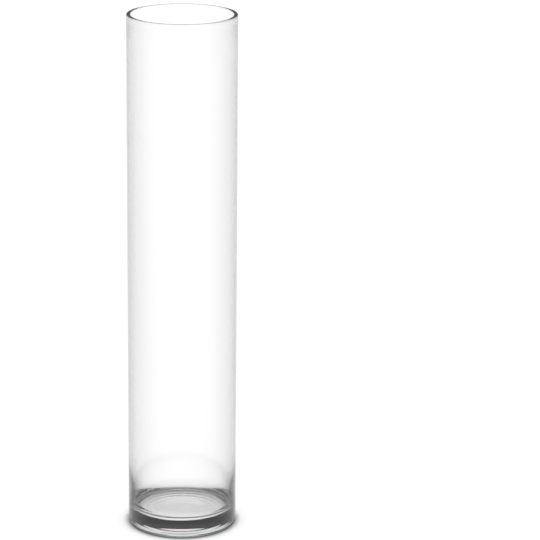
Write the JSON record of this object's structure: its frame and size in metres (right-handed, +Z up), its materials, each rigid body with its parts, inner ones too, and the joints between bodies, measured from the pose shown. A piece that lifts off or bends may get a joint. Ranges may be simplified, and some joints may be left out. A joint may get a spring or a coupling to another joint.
{
  "type": "cylinder vase",
  "caption": "Tall clear glass cylinder vase with a thin straight wall that thickens to a flat polished lip, a heavy floor with a full, rounded inner corner, and a very shallow punt underneath.",
  "frame": {"origin": "centre of the ring that the vase stands on", "axes": "+Z up along the cylinder's axis, out of the mouth; X and Y are any two level directions, because the vase is round"},
  "size_m": [0.1269, 0.127, 0.61],
  "materials": {
    "clear_glass": "clear, fire-polished, colourless soda-lime glass"
  },
  "bodies": {
    "root": {"vase_body": "clear_glass"}
  },
  "joints": []
}
